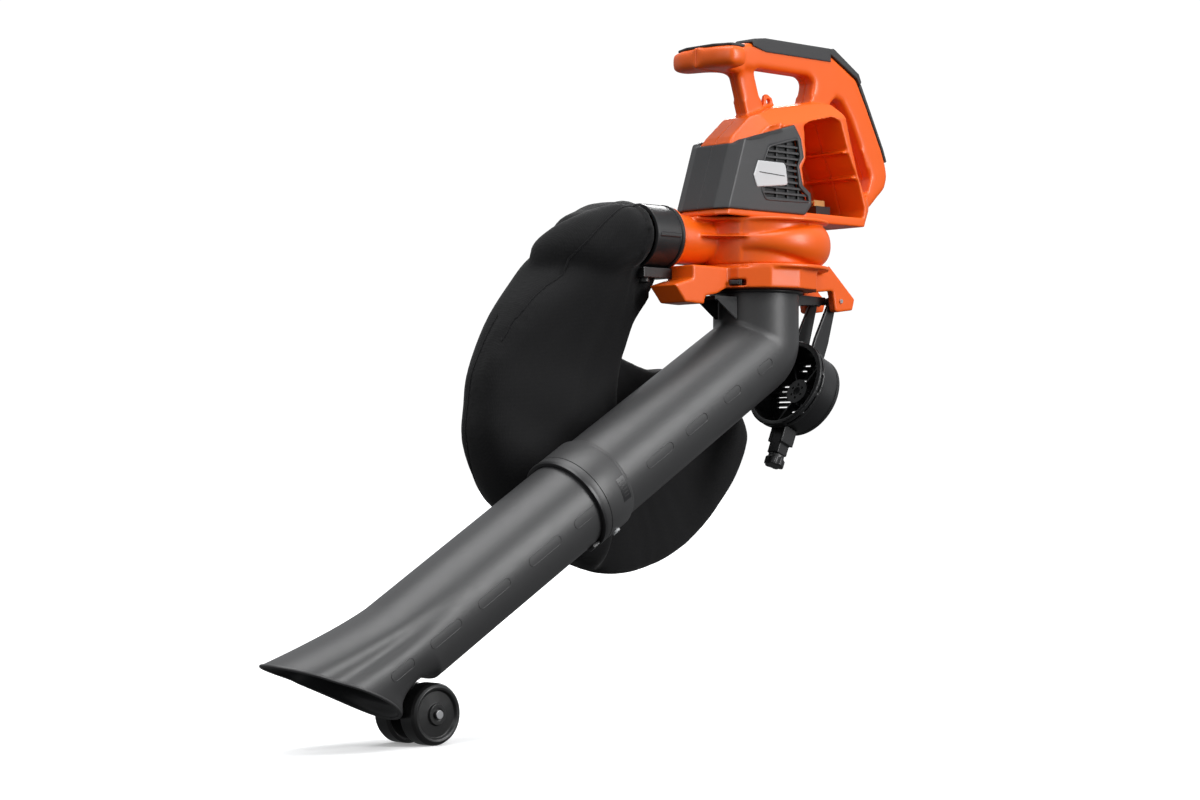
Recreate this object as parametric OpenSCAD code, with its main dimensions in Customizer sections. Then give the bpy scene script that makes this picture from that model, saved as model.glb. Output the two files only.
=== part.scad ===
// Hand-held leaf blower and vacuum: motor unit with fan housing, suction tube with a scoop
// and castor wheels, hinged inlet guard and fabric collection bag.
// Millimetres. The origin is the centre of the hand grip, +Z is up and the front faces -X.
// The shapes below are drawn around the fan axis with the floor at Z = 0, and place() moves
// them to the grip.

/* [Handle] */
// Height of the hand grip above the floor
grip_z = 925; // [920:1:930]
// Distance of the hand grip behind the fan axis
grip_x = 62; // [58:1:66]
// Width of the handle beam
beam_w = 34; // [32:1:36]
// Width of the strut that carries the front bar
strut_w = 22; // [20:1:26]
// Full width of the front bar
bar_w = 120; // [110:2:130]
// Travel of the two keys
key_travel = 1; // [0.5:0.1:1.2]

/* [Motor housing] */
// Width of the motor housing
body_w = 96; // [94:1:98]
// Thickness of the grey motor covers
skin = 4; // [3.5:0.5:4.5]
// Number of slats in a vent
slats = 10; // [8:1:12]

/* [Fan and motor] */
// Radius of the impeller
fan_r = 66; // [62:1:70]
// Number of impeller blades
fan_blades = 8; // [6:1:10]
// Radius of the motor
motor_r = 37; // [35:1:37]
// Radius of the motor shaft
shaft_r = 4; // [3.5:0.5:4.5]
// Radius of the bore that takes the suction tube
inlet_r = 62; // [61.5:0.5:63]

/* [Suction tube] */
// Outer radius of the tube at the housing
tube_r = 60; // [59:0.5:61]
// Wall of the tube
tube_wall = 3; // [2.5:0.5:3.5]
// Slope of the tube below level
tube_slope = 31; // [31:1:31]
// Height of the elbow above the floor
corner_z = 512; // [512:1:512]

/* [Wheels] */
// Wheel radius
wheel_r = 39; // [36:1:39]
// Wheel width
wheel_w = 30; // [26:1:30]
// Axle radius
axle_r = 4; // [3.5:0.5:5]

/* [Inlet guard] */
// Radius of the guard cup
cup_r = 60; // [58:1:60]
// Angle that the guard hangs open from its closed place
guard_open = 67; // [67:1:70]
// Radius of the guard hinge pin
pin_r = 3; // [2.5:0.5:3.5]

/* [Bag] */
// Half the thickness of the filled bag
bag_half = 61; // [56:1:62]
// Radius of the bag collar
collar_r = 43; // [42:0.5:44]

/* [Hidden] */
$fn = 64;
fit = 0.05;
gap = 0.3;
hull_fn = 32;
body_h = body_w / 2;
beam_h = beam_w / 2;
cover_h = body_h + 2;
inner_h = body_h - skin;
motor_h = inner_h - 2.5;
base_z = 691;
front_tilt = 18.4;
roof_tilt = 10;
split_z = 663;
block_z = 593;
outlet_y = 30;
outlet_z = 661;
outlet_x = -153;
axle_s = 770.6;
axle_n = -88.6;
pocket_r = 44.5;
axle_x = -axle_s * cos(tube_slope) - axle_n * sin(tube_slope);
axle_z = corner_z - axle_s * sin(tube_slope) + axle_n * cos(tube_slope);
hinge_x = 140;
hinge_z = 584;
coupler_s = 362;
coupler_end = 421;
coupler_r = 66.5;
joint_s = 375.5;
mouth_s = 864.2;
mouth_skew = 0.78;
snap_s = 392;
snap_phi = -57;
snap_r = 6;
lock_turn = 24;
lock_travel = 6;
bag_y = 128;
body_outline = [[-116, 691], [-113, 703], [-84, 790], [-76, 802], [-40, 832], [4, 848],
  [98, 864], [124, 864], [134, 852], [146, 812], [162, 765], [184, 722], [176, 691]];
handle_outline = [[-78, 905], [-74, 922], [-30, 937], [140, 937], [196, 908], [221, 866],
  [251, 812], [261, 790], [265, 772], [259, 754], [221, 720], [176, 691], [120, 700],
  [0, 800], [-29, 835], [-50, 897]];
loop_outline = [[-14, 903], [92, 903], [101, 899], [104, 893], [97, 866], [4, 850]];
finger_outline = [[138, 868], [150, 877], [165, 872], [184, 848], [206, 807], [227, 768],
  [219, 746], [186, 738], [166, 765], [149, 812], [137, 852]];
motor_cavity = [[-104, 690], [-104, 703], [-78, 786], [-70, 797], [-38, 826], [6, 841],
  [38, 846], [38, 690]];
bay_outline = [[52, 704], [48, 745], [44, 765], [52, 780], [48, 826], [61, 832], [111, 843],
  [124, 837], [137, 804], [150, 777], [160, 762], [176, 716], [174, 704]];
cover_zone = [[-130, 699], [48, 700], [62, 714], [60, 731], [44, 741], [36, 768], [46, 780],
  [40, 806], [26, 824], [0, 817], [-74, 797], [-80, 791], [-130, 791]];
vent_window = [[-26, 790], [32, 805], [38, 780], [32, 766], [36, 739], [54, 727], [56, 718],
  [-32, 716], [-40, 727], [-36, 771]];
badge_outline = [[-49, 769], [3, 769], [7, 765], [11, 740], [5, 738], [-51, 732], [-58, 748]];
air_slot = [[-77, 797.5], [-70, 803], [5, 825], [5, 814], [-73, 794]];
screw_spots = [[-48, 915], [60, 921], [196, 882], [248, 776]];

// ---- shared helpers ----
module place() translate([-grip_x, 0, -grip_z]) children();
module side(y0, y1) translate([0, y1, 0]) rotate([90, 0, 0]) linear_extrude(y1 - y0) children();
module slab(z0, z1) translate([0, 0, z0]) linear_extrude(z1 - z0) children();
module rod(r, y0, y1) translate([0, y0, 0]) rotate([-90, 0, 0]) cylinder(r = r, h = y1 - y0);
module left_half() translate([-400, -100, 500]) cube([800, 100, 500]);
module right_half() translate([-400, 0, 500]) cube([800, 100, 500]);
// local x is perpendicular to the tube, local z runs down along it
module tube_frame() translate([0, 0, corner_z]) rotate([0, -90 - tube_slope, 0]) children();
module on_tube(s, phi) tube_frame() translate([0, 0, s]) rotate([0, 0, phi - 90]) children();
module opened() translate([hinge_x, 0, hinge_z]) rotate([0, -guard_open, 0])
  translate([-hinge_x, 0, -hinge_z]) children();
module ring(r_out, r_in, z0, z1) translate([0, 0, z0]) difference() {
  cylinder(r = r_out, h = z1 - z0);
  translate([0, 0, -1]) cylinder(r = r_in, h = z1 - z0 + 2);
}

// ---- motor housing ----
module corner_cut(x0, y0, x1, y1) for (m = [0, 1]) mirror([0, m, 0])
  translate([-113, 0, 703]) rotate([0, front_tilt, 0]) translate([0, 0, -60])
  linear_extrude(220) polygon([[x0 - 40, y0 - 2.2], [x0 - 0.99, y0 - 2.2], [x1 + 0.99, y1 + 2.2],
    [x1 + 0.99, y1 + 30], [x0 - 40, y1 + 30]]);
module roof_cut(x, z, tilt, from, to) translate([x, 0, z]) rotate([0, -tilt, 0])
  translate([from, 0, 0]) rotate([90, 0, 90])
  linear_extrude(to - from) polygon([[22.7, 2.6], [50.3, -28.6], [70, -28.6], [70, 40], [22.7, 40]]);
// the sloping shoulders of the roof on the side that m picks, lowered by drop
module shoulder(m, drop) mirror([0, m, 0]) {
  roof_cut(4, 848 - drop, roof_tilt, -60, 200);
  roof_cut(-40, 832 - drop, 40, -80, 20);
}
module body_block() difference() {
  side(-body_h, body_h) polygon(body_outline);
  corner_cut(0, 28, 9, body_h);
  shoulder(0, 0);
  shoulder(1, 0);
}
module motor_space() difference() {
  side(-motor_h, motor_h) polygon(motor_cavity);
  shoulder(0, 7);
  shoulder(1, 7);
}
module bay_space() difference() {
  side(-body_h - 12, body_h - 5) polygon(bay_outline);
  shoulder(0, 6);
}
module beam_block() side(-beam_h, beam_h) polygon(handle_outline);
module handle_block() difference() {
  beam_block();
  side(-40, 40) polygon(loop_outline);
  side(-40, 40) polygon(finger_outline);
  for (m = [0, 1]) mirror([0, m, 0]) side(strut_w / 2, 40)
    polygon([[-80, 834], [-80, 901.3], [-8, 901.3], [12, 849], [4, 845], [-40, 829]]);
}
module bar_plan() polygon([[-120, 30], [-108, bar_w / 2], [-78, bar_w / 2], [-68, 20], [-40, beam_h],
  [-40, -beam_h], [-68, -20], [-78, -bar_w / 2], [-108, -bar_w / 2], [-120, -30]]);
module rear_gusset() difference() {
  side(-body_h, body_h) polygon([[150, 700], [175, 691.6], [219, 720.3], [203, 741], [184, 728]]);
  for (m = [0, 1]) mirror([0, m, 0]) slab(650, 800)
    polygon([[173, body_h + 2], [225, beam_h - 2], [300, beam_h - 2], [300, 90], [173, 90]]);
}
module cover_shell() difference() {
  intersection() {
    side(-cover_h, cover_h) polygon(cover_zone);
    side(-cover_h, cover_h)
      polygon([[-119, 690], [-116, 703], [-86, 793], [-80, 830], [80, 830], [80, 690]]);
  }
  corner_cut(-3, 29, 6, cover_h);
  difference() {
    side(-inner_h, inner_h)
      polygon([[-111, 689], [-108, 703], [-77, 797], [-70, 831], [81, 831], [81, 689]]);
    corner_cut(4, 27.5, 10.5, inner_h);
  }
}
module screw_cuts() for (p = screw_spots) translate([p[0], 0, p[1]]) {
  rod(2 + fit, -beam_h + 3.9, beam_h);
  rod(3.6 + fit, beam_h - 3, beam_h + 20);
}
module key_frame() translate([173, 0, 931.5]) rotate([0, 29.9, 0]) children();
module housing_block() difference() {
  union() {
    difference() {
      union() {
        body_block();
        rear_gusset();
        handle_block();
        slab(893, 922) bar_plan();
      }
      motor_space();
      bay_space();
      side(-cover_h - 1, cover_h + 1) polygon(vent_window);
      side(-12, 12) polygon([[-36, 909], [-34, 931], [138, 931], [168, 916], [120, 909]]);
      side(-12, 12) polygon([[176, 903], [190, 851], [212, 809], [232, 769], [227, 752], [238, 747],
        [257, 771], [254, 788], [245, 810], [215, 864], [194, 902]]);
      cover_shell();
      side(-cover_h - 1, -inner_h + 0.3) polygon(air_slot);
      side(inner_h - 0.3, cover_h + 1) polygon(air_slot);
    }
    for (r = [[131, 145, 793], [150, 166, 758]])
      translate([r[0], -body_h + 2, r[2]]) cube([r[1] - r[0], body_w - 5, 4]);
    side(-8.5, -0.5) polygon([[5, 846], [10, 868], [17, 872], [24, 868], [31, 850]]);
  }
  screw_cuts();
  translate([17, 0, 860]) rod(4, -9, 0);
  translate([0, 0, base_z - 5]) cylinder(r = motor_r + 1, h = 9);
}
module housing_left() color("orangered") place() intersection() {
  housing_block();
  left_half();
}
module housing_right() color("orangered") place() intersection() {
  housing_block();
  right_half();
}
module motor_cover() difference() {
  cover_shell();
  side(-cover_h - 1, cover_h + 1) polygon(vent_window);
  for (m = [0, 1]) mirror([0, m, 0]) side(cover_h - 1, cover_h + 1) polygon(badge_outline);
}
module motor_cover_left() color("dimgray") place() intersection() {
  motor_cover();
  left_half();
}
module motor_cover_right() color("dimgray") place() intersection() {
  motor_cover();
  right_half();
}
// slats across the vent window, leaning outwards, set back behind the cover's face
module vent_grille() intersection() {
  side(inner_h, cover_h - 1.2) polygon(vent_window);
  union() {
    side(inner_h, inner_h + 1.5) polygon([[-60, 710], [-30, 710], [-30, 812], [-60, 812]]);
    for (i = [0:slats - 1]) translate([-60, inner_h, 719 + i * 82 / slats])
      rotate([-20, 0, 0]) cube([130, cover_h - inner_h + 2, 2.6]);
    for (x = [-8, 14, 36]) translate([x, inner_h, 700]) cube([3, 2, 120]);
  }
}
module vent_grille_left() color("dimgray") place() mirror([0, 1, 0]) vent_grille();
module vent_grille_right() color("dimgray") place() vent_grille();
module badge() side(cover_h - 1, cover_h + 1) polygon(badge_outline);
module badge_left() color("silver") place() mirror([0, 1, 0]) badge();
module badge_right() color("silver") place() badge();
module housing_screws() color("silver") place() for (p = screw_spots) translate([p[0], 0, p[1]]) {
  rod(2, -beam_h + 4, beam_h - 3);
  rod(3.6, beam_h - 3, beam_h - 0.8);
}

// ---- grips and controls ----
module front_bar_pad() color("black") place() slab(922, 926) difference() {
  bar_plan();
  translate([-74, -beam_h - 1]) square([80, beam_w + 2]);
}
module top_grip() color("black") place() difference() {
  side(-beam_h - 1.5, beam_h + 1.5) polygon([[-26, 938], [-22, 943], [0, 946], [138, 946],
    [138, 926], [0, 926], [-26, 932]]);
  beam_block();
}
module control_panel() color("black") place() difference() {
  side(-beam_h, beam_h) polygon([[138.2, 930], [138.2, 946], [146, 947], [200, 916], [206, 904],
    [199, 896]]);
  beam_block();
  key_frame() for (x = [-20, 8]) translate([x, -6, -3.9]) cube([14, 12, 9]);
}
module rear_grip() color("black") place() difference() {
  side(-beam_h + 2, beam_h - 2) polygon([[206.4, 903.4], [226, 868], [256, 813], [264, 794],
    [255, 790], [215, 864], [199.2, 895.6]]);
  beam_block();
}
module key(x) key_frame() translate([x + gap, -6 + gap, -2.6]) cube([14 - 2 * gap, 12 - 2 * gap, 4]);
module power_key() color("gray") place() key(-20);
module speed_key() color("gray") place() key(8);
module battery_terminal() color("black") place() translate([120, -5, 704]) cube([30, 45, 17]);
module terminal_blades() color("goldenrod") place() for (y = [2, 12, 22, 32])
  translate([124, y, 721]) cube([22, 1.5, 9]);

// ---- motor ----
module motor_stator() color("slategray") place() {
  ring(motor_r - 5.5, 22.5, 702, 738);
  for (a = [20:60:320]) rotate([0, 0, a]) translate([27, 0, 738]) cylinder(r = 4, h = 5);
}
module motor_rotor() color("lightsteelblue") place() {
  translate([0, 0, 610]) cylinder(r = shaft_r, h = 142);
  ring(21.5, shaft_r, 704, 736);
}
module lower_bearing() color("silver") place() ring(11, shaft_r + fit, 691, 698);
module upper_bearing() color("silver") place() ring(9.5, shaft_r + fit, 745, 751);
module motor_plate() color("gray") place() difference() {
  union() {
    ring(motor_r, 11, 691, 696);
    ring(15, 11, 696, 698);
    ring(motor_r, motor_r - 5.5, 696, 702);
  }
  for (a = [45:90:315]) rotate([0, 0, a]) translate([26, 0, 690]) cylinder(r = 2 + fit, h = 8);
}
module motor_end_bell() color("gray") place() {
  ring(motor_r - 1.5, motor_r - 5.5, 702, 748);
  difference() {
    ring(motor_r - 5.5, 9.5, 745, 750);
    for (a = [20:60:320]) rotate([0, 0, a]) translate([24, 0, 744]) cylinder(r = 6, h = 8);
  }
}
module motor_screws() color("silver") place() for (a = [45:90:315])
  rotate([0, 0, a]) translate([26, 0, 0]) {
    translate([0, 0, 687]) cylinder(r = 2, h = 9);
    translate([0, 0, 696]) cylinder(r = 3.5, h = 2.4);
  }
module controller_board() color("darkgreen") place() {
  translate([-34, -34, 800]) cube([66, 68, 1.8]);
  for (x = [-26, -6, 14]) translate([x, -26, 801.8]) cube([12, 9, 5]);
  for (y = [6, 20]) translate([-14, y, 801.8]) cylinder(r = 5, h = 14);
}
module motor_leads() color("firebrick") place() for (a = [20, 140, 260])
  rotate([0, 0, a]) translate([27, 0, 743]) cylinder(r = 1.5, h = 56.9);

// ---- fan ----
module shaft_seal() color("black") place() ring(10, shaft_r + fit, 687, 691);
module impeller() color("gray") place() {
  ring(12, shaft_r, 619, 672);
  ring(fan_r, shaft_r, 672, 675);
  for (i = [0:fan_blades - 1]) rotate([0, 0, i * 360 / fan_blades])
    translate([0, 0, 638]) linear_extrude(34)
    polygon([[11, 4], [30, 12], [48, 15], [fan_r - 1, 13], [fan_r - 1, 16], [48, 18], [30, 15], [11, 7]]);
}
module mulching_blade() color("silver") place() difference() {
  union() {
    translate([0, 0, 616]) cylinder(r = 11, h = 3);
    for (a = [0:120:240]) rotate([0, 0, a]) slab(616, 619)
      polygon([[6, -8], [50, -6], [46, 6], [6, 8]]);
  }
  translate([0, 0, 610]) cylinder(r = shaft_r, h = 12);
}
module impeller_nut() color("silver") place() difference() {
  translate([0, 0, 611]) cylinder(r = 8, h = 5, $fn = 6);
  translate([0, 0, 600]) cylinder(r = shaft_r, h = 20);
}

// ---- fan housing ----
// the scroll opens from its tongue (turn 30) to the far side, then runs into the outlet
function scroll_r(t) = 82 + 33 * (1 - pow((270 - t) / 240, 2));
function scroll(inset) = concat(
  [[-118, outlet_y - 29.5 + inset], [-77 + inset, -4 + inset], [-73.5 + inset, -20]],
  [for (t = [30:10:300]) (scroll_r(t) - inset) * [-cos(t), -sin(t)]],
  [[-90, 77 - inset], [-118, outlet_y + 29.5 - inset]]);
module outlet_frame() translate([0, outlet_y, outlet_z]) rotate([0, -90, 0]) children();
module volute_outer() {
  slab(626, 632) polygon(scroll(10));
  slab(632, 638) polygon(scroll(4));
  slab(638, 677) polygon(scroll(0));
  slab(677, 682) polygon(scroll(5));
  slab(682, 687) polygon(scroll(11));
  slab(687, base_z) polygon(scroll(4));
  slab(622, 626) polygon(scroll(2));
  slab(split_z, split_z + 3) polygon([[-122, 6], [-110, -22], [-70, -52], [-40, -64], [-50, -20]]);
  outlet_frame() translate([0, 0, 117]) cylinder(r = 35, h = -outlet_x - 117);
  outlet_frame() translate([0, 0, -outlet_x - 5]) cylinder(r = collar_r + 0.5, h = 5);
}
module volute_inner() {
  slab(626, 687) polygon(scroll(15));
  slab(632, 682) polygon(scroll(9));
  slab(639, 677) polygon(scroll(4.2));
  outlet_frame() translate([0, 0, 30]) cylinder(r = 25.5, h = 130);
  outlet_frame() translate([0, 0, 112]) cylinder(r1 = 25.5, r2 = 33, h = 42);
}
module volute_upper() color("orangered") place() difference() {
  intersection() {
    volute_outer();
    slab(split_z, 760) square(600, center = true);
  }
  volute_inner();
  translate([0, 0, 680]) cylinder(r = 10, h = 20);
  for (a = [45:90:315]) rotate([0, 0, a]) translate([26, 0, 680]) cylinder(r = 2 + fit, h = 20);
}
module lock_frame() rotate([0, 0, 180 + lock_turn]) translate([86, 0, 600]) children();
module volute_lower() color("orangered") place() difference() {
  union() {
    intersection() {
      volute_outer();
      slab(600, split_z) square(600, center = true);
    }
    translate([0, 0, block_z]) rotate([0, 0, -3]) cylinder(r = 88, h = 29, $fn = 12);
    side(-25, 25) polygon([[-150, 622], [-150, 603], [-185, 593], [-164, 570], [-129, 569],
      [-125, 580], [-104, 584], [-84, 593], [-80, 622]]);
    for (m = [0, 1]) mirror([0, m, 0]) side(22, 34) polygon([[68, 593], [83, 624], [117, 633],
      [171, 588], [166, 572], [135, 568], [129, 570], [124, 598], [75, 593]]);
  }
  volute_inner();
  translate([0, 0, 580]) cylinder(r = inlet_r, h = 50);
  lock_frame() translate([-16, -9 - gap, -4 - gap]) cube([40, 18 + lock_travel + 2 * gap, 8 + 2 * gap]);
  translate([hinge_x, 0, hinge_z]) rod(pin_r + fit, -50, 50);
}
module tube_lock() color("black") place() lock_frame() {
  translate([-12, -9, -4]) cube([12, 18, 8]);
  translate([0, -6, -3]) cube([5, 12, 6]);
}

// ---- inlet guard, drawn in its closed place and swung open ----
module hinge_pin() color("silver") place() translate([hinge_x, 0, hinge_z]) rod(pin_r, -36, 36);
module guard_cup() color("black") place() opened() {
  ring(cup_r, cup_r - 2.5, 568, 608);
  ring(cup_r + 5, cup_r - 2.5, 608, 613);
  ring(cup_r + 5, cup_r + 1.5, 600, 605);
  for (a = [15:30:345]) rotate([0, 0, a]) translate([cup_r - 1, -2, 600]) cube([5, 4, 8]);
}
module guard_grille() color("black") place() opened() difference() {
  translate([0, 0, 563]) cylinder(r = cup_r, h = 5);
  translate([0, 0, 560]) cylinder(r = 18, h = 10);
  for (x = [-48:8:48], m = [0, 1]) mirror([0, m, 0]) if (abs(x) < 50)
    translate([x - 2, abs(x) < 22 ? 22 : 4, 560]) cube([4, 30 - abs(x) / 3, 10]);
}
module guard_hub() color("black") place() opened() {
  ring(18, 14, 563, 585);
  difference() {
    ring(14, 6, 581, 585);
    for (a = [0:60:300]) rotate([0, 0, a]) translate([10, 0, 575]) cylinder(r = 1.8, h = 20);
  }
  for (a = [0:60:300]) rotate([0, 0, a + 30]) translate([17.8, -1.2, 568]) cube([cup_r - 20.6, 2.4, 12]);
}
module guard_arms() color("black") place() opened() difference() {
  for (m = [0, 1]) mirror([0, m, 0]) side(15.5, 20.5) union() {
    polygon([[50, 570], [50, 598], [76, 598], [hinge_x, 591], [hinge_x, 577], [80, 570]]);
    translate([hinge_x, hinge_z]) circle(r = 7);
  }
  translate([0, 0, 560]) cylinder(r = cup_r, h = 60);
  translate([hinge_x, 0, hinge_z]) rod(pin_r + 2 * fit, -50, 50);
}
module guard_bracket() color("black") place() opened() difference() {
  union() {
    translate([-100, -10, 578]) cube([45, 20, 20]);
    for (y = [-13, 10]) translate([-84, y, 574]) cube([30, 3, 26]);
  }
  translate([0, 0, 560]) cylinder(r = cup_r, h = 60);
  translate([-102, 0, 588]) rotate([0, 90, 0]) cylinder(r = 4 + 2 * fit, h = 14);
}
module guard_knob() color("black") place() opened() translate([0, 0, 588]) rotate([0, -90, 0]) {
  translate([0, 0, 89]) cylinder(r = 4, h = 12);
  translate([0, 0, 100 + gap]) cylinder(r = 12, h = 6);
  translate([0, 0, 106 + gap]) difference() {
    cylinder(r = 15, h = 12);
    for (a = [0:60:300]) rotate([0, 0, a]) translate([17, 0, -1]) cylinder(r = 4.5, h = 14);
  }
}

// ---- suction tube ----
module snap_bore() on_tube(snap_s, snap_phi) translate([50, 0, 0]) rotate([0, 90, 0])
  cylinder(r = snap_r + gap, h = 30);
module upper_tube() color("dimgray") place() difference() {
  union() {
    translate([0, 0, 588]) cylinder(r = tube_r + 6, h = 4.7);
    translate([0, 0, corner_z]) cylinder(r = tube_r, h = 108);
    translate([0, 0, corner_z]) sphere(r = tube_r);
    tube_frame() cylinder(r1 = tube_r, r2 = tube_r + 2, h = 372);
    tube_frame() translate([0, 0, coupler_s]) cylinder(r = coupler_r, h = coupler_end - coupler_s);
    translate([-103, -20, 577]) cube([50, 40, 5]);
    for (m = [0, 1]) mirror([0, m, 0]) side(17, 20) polygon([[-100, 577], [-50, 577], [-50, 552]]);
    for (m = [0, 1]) mirror([0, m, 0]) side(8, 11) union() {
      polygon([[50, 560], [50, 588], [64, 592], [hinge_x, 590], [hinge_x, 578], [80, 576]]);
      translate([hinge_x, hinge_z]) circle(r = 6);
    }
  }
  translate([0, 0, corner_z]) cylinder(r = tube_r - tube_wall, h = 120);
  translate([0, 0, corner_z]) sphere(r = tube_r - tube_wall);
  tube_frame() cylinder(r1 = tube_r - tube_wall, r2 = tube_r + 2 - tube_wall, h = 372.1);
  tube_frame() translate([0, 0, 372]) cylinder(r = tube_r + 1.6, h = 60);
  snap_bore();
  translate([hinge_x, 0, hinge_z]) rod(pin_r + gap, -20, 20);
}
// section of the lower tube: half width, height above and depth below the axis
function flare(s) = s < 760 ? 0 : 31 * pow((s - 760) / 176, 1.3);
function keel(s) = s < 812 ? min(tube_r + 1, -axle_n - pocket(s - axle_s)) : 72;
function pocket(d) = sqrt(max(0, pow(pocket_r, 2) - d * d));
function skew(s) = s < 640 ? 0 : mouth_skew * pow((s - 640) / (mouth_s - 640), 1.5);
function arch(s) = s < 700 ? 0 : 10 * pow((s - 700) / (mouth_s - 700), 3);
function top_at(s, k) = tube_r + 1 + flare(s + k * (tube_r + 1 + flare(s + k * 70)));
function bottom_at(s, k) = keel(s - k * keel(s - k * keel(s - k * 60)));
function section_point(s, a, inset) = let (k = skew(s),
  n = sin(a) >= 0 ? (top_at(s, k) - inset) * sin(a) : (bottom_at(s, k) - inset) * sin(a))
  [n, (tube_r + 1 - inset) * cos(a), s + k * n - arch(s) * pow(cos(a), 2)];
section_s = [joint_s, 440, 520, 600, 650, 680, 700, 715, 728, 740, 752, 764, 776, 788, 800, 812,
  824, 834, 844, 854, mouth_s];
facets = 32;
function skin_points(inset) = [for (s = section_s, i = [0:facets - 1])
  section_point(s, i * 360 / facets, inset)];
module lower_tube() color("dimgray") place() difference() {
  tube_frame() polyhedron(
    points = concat(skin_points(0), skin_points(tube_wall)),
    faces = let (last = len(section_s) - 1, half = len(section_s) * facets) concat(
      [for (i = [0:last - 1], j = [0:facets - 1]) let (a = i * facets + j, b = i * facets + (j + 1) % facets)
        [a, a + facets, b + facets, b]],
      [for (i = [0:last - 1], j = [0:facets - 1]) let (a = i * facets + j, b = i * facets + (j + 1) % facets)
        [half + a, half + b, half + b + facets, half + a + facets]],
      [for (j = [0:facets - 1]) let (b = (j + 1) % facets) [j, b, half + b, half + j]],
      [for (j = [0:facets - 1]) let (a = last * facets + j, b = last * facets + (j + 1) % facets)
        [a, half + a, half + b, b]]));
  snap_bore();
}
module snap_button() color("silver") place() on_tube(snap_s, snap_phi) translate([59, 0, 0])
  rotate([0, 90, 0]) cylinder(r = snap_r, h = 10.5);
module release_tab() color("gray") place() on_tube(430, -60) translate([tube_r + 1.2, -7, -6])
  cube([5, 14, 14]);
module wheel_fork() color("dimgray") place() tube_frame() difference() {
  side(-8, 8) translate([axle_n, axle_s]) union() {
    circle(r = 13);
    intersection() {
      circle(r = pocket_r - 0.7);
      translate([0, -11]) square([50, 22]);
    }
  }
  translate([axle_n, 0, axle_s]) rod(axle_r + fit, -20, 20);
}
module axle_frame() translate([axle_x, 0, axle_z]) children();
module axle() color("silver") place() axle_frame() rod(axle_r, -41, 41);
module axle_screws() color("silver") place() axle_frame() for (y = [-44, 41]) rod(5.5, y, y + 3);
module wheel() axle_frame() translate([0, 10.3, 0]) rotate([-90, 0, 0]) rotate_extrude()
  polygon([[axle_r + fit, 0], [14, 0], [14, 3], [wheel_r - 6, 3], [wheel_r - 3, 0], [wheel_r, 4],
    [wheel_r, wheel_w - 6], [wheel_r - 2, wheel_w - 2], [wheel_r - 5, wheel_w],
    [wheel_r - 8, wheel_w - 0.5], [wheel_r - 10, wheel_w - 4], [14, wheel_w - 3], [13, wheel_w],
    [8, wheel_w], [8, wheel_w - 1], [axle_r + fit, wheel_w - 1]]);
module wheel_left() color("black") place() mirror([0, 1, 0]) wheel();
module wheel_right() color("black") place() wheel();

// ---- bag and its collar ----
module bag_collar() color("black") place() outlet_frame() {
  ring(collar_r, collar_r - 4.5, -outlet_x, -outlet_x + 52);
  for (a = [0:45:315]) rotate([0, 0, a]) translate([collar_r - 1, -2, -outlet_x + 4]) cube([3, 4, 48]);
}
module collar_latch() color("black") place() difference() {
  translate([outlet_x - 52, outlet_y - 15, 604]) cube([54, 30, 20]);
  outlet_frame() translate([0, 0, 100]) cylinder(r = collar_r + 2.1, h = 120);
  translate([-190, outlet_y, 600]) cylinder(r = 8 + gap, h = 14);
}
module collar_button() color("black") place() translate([-190, outlet_y, 598])
  cylinder(r = 8, h = 10.5);
module blob(x, z) translate([x, bag_y, z]) sphere(r = bag_half, $fn = hull_fn);
module bag() color("dimgray") place() union() {
  hull() {
    blob(-383, 425);
    blob(-340, 540);
    blob(-265, 620);
    blob(-240, 659);
    blob(-190, 560);
    blob(-205, 440);
    blob(-350, 330);
  }
  hull() {
    blob(-350, 330);
    blob(-235, 277);
    blob(-130, 262);
    blob(-25, 284);
    blob(66, 372);
    blob(-47, 432);
    blob(-215, 440);
  }
  hull() {
    outlet_frame() translate([0, 0, -outlet_x + 52.1]) cylinder(r = collar_r - 2, h = 1, $fn = hull_fn);
    translate([-256, 84, 655]) sphere(r = 48, $fn = hull_fn);
    translate([-263, bag_y - 8, 640]) sphere(r = 55, $fn = hull_fn);
  }
}

housing_left();
housing_right();
motor_cover_left();
motor_cover_right();
vent_grille_left();
vent_grille_right();
badge_left();
badge_right();
front_bar_pad();
top_grip();
control_panel();
rear_grip();
power_key();
speed_key();
battery_terminal();
terminal_blades();
housing_screws();
motor_stator();
motor_rotor();
lower_bearing();
upper_bearing();
motor_plate();
motor_end_bell();
motor_screws();
controller_board();
motor_leads();
shaft_seal();
impeller();
impeller_nut();
mulching_blade();
volute_upper();
volute_lower();
tube_lock();
hinge_pin();
guard_cup();
guard_grille();
guard_hub();
guard_arms();
guard_bracket();
guard_knob();
upper_tube();
lower_tube();
snap_button();
release_tab();
wheel_fork();
axle();
axle_screws();
wheel_left();
wheel_right();
bag_collar();
collar_latch();
collar_button();
bag();
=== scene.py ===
# Looks of a hand-held leaf blower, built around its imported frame. Metres, grip at the origin,
# front along -X. Every shape is a numpy grid of points, or a recast or bevelled copy of a frame part.
import math
import bpy
import bmesh
import numpy as np
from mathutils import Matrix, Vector
from mathutils.bvhtree import BVHTree


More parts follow.
